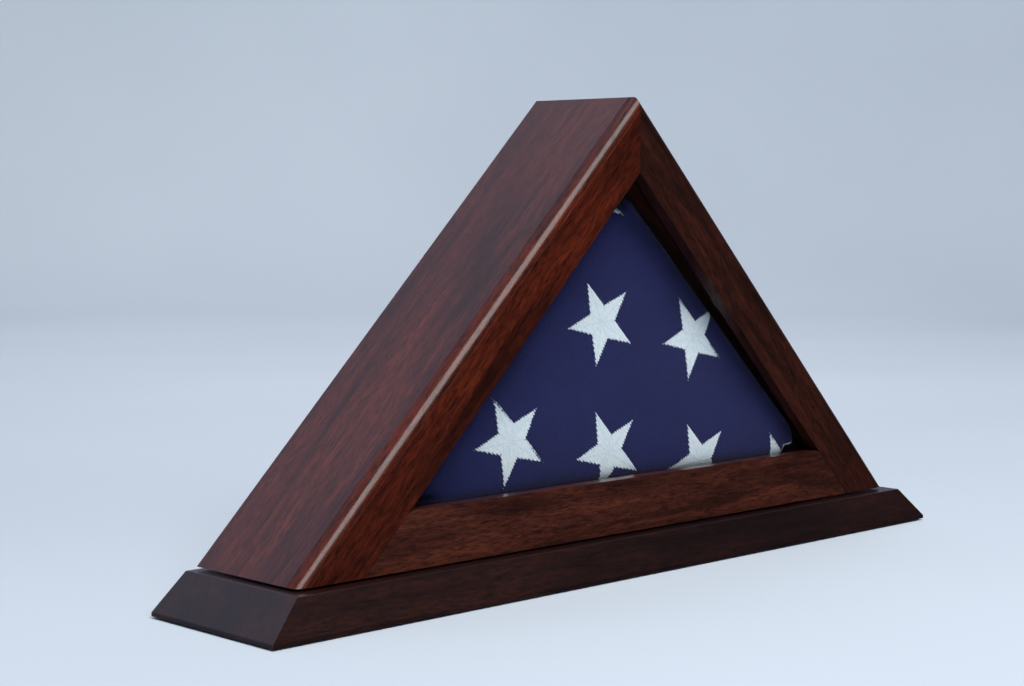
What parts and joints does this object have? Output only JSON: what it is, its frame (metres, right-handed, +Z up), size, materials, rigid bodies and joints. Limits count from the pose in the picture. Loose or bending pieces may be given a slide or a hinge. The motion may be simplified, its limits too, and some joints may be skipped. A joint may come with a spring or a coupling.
{
  "type": "folded flag display case",
  "caption": "Triangular hardwood display case holding a folded flag, with a glazed front frame, a hinged back door and a flared pedestal board.",
  "frame": {"origin": "centre of the bounding box's footprint, on the surface the felt stands on", "axes": "+X along the front to the viewer's right, +Y from the glass towards the back door, +Z up"},
  "size_m": [0.5372, 0.1094, 0.2662],
  "materials": {
    "base_wood": "dark mahogany stain under satin lacquer",
    "wall_wood": "mahogany stain under satin lacquer",
    "face_wood": "red mahogany stain under gloss lacquer",
    "stop_wood": "dark stained strip",
    "dowel_wood": "plain beech",
    "door_wood": "stained plywood",
    "glass": "clear float glass",
    "felt": "black adhesive felt",
    "lining": "black flocked paper",
    "washer": "black fibre",
    "steel": "zinc plated",
    "nickel": "nickel plated",
    "brass": "lacquered brass",
    "flag_cloth": "woven nylon with embroidered stars"
  },
  "bodies": {
    "case": {"pedestal_board": "base_wood", "base_felt": "felt", "pedestal_screws": "steel", "pedestal_washers": "washer", "left_side_panel": "wall_wood", "right_side_panel": "wall_wood", "bottom_panel": "wall_wood", "apex_spline": "dowel_wood", "corner_dowels": "dowel_wood", "face_rail_left": "face_wood", "face_rail_right": "face_wood", "face_rail_bottom": "face_wood", "face_frame_pins": "dowel_wood", "glass_pane": "glass", "glass_stop_left": "stop_wood", "glass_stop_right": "stop_wood", "glass_stop_bottom": "stop_wood", "glass_stop_brads": "steel", "catch_magnets": "nickel", "folded_flag": "flag_cloth", "hinge_left_case_leaf": "brass", "hinge_right_case_leaf": "brass", "hinge_left_pin": "brass", "hinge_right_pin": "brass", "case_leaf_screws": "brass"},
    "door": {"back_door": "door_wood", "door_lining": "lining", "strike_discs": "steel", "door_knob": "brass", "door_knob_screw": "steel", "hinge_left_door_leaf": "brass", "hinge_right_door_leaf": "brass", "door_leaf_screws": "brass"}
  },
  "joints": [
    {"name": "door_hinge", "type": "hinge", "parent": "case", "child": "door", "pos_m": [0, 0.04275, 0.03295], "axis": [-1, 0, 0], "range_deg": [0, 95]}
  ]
}
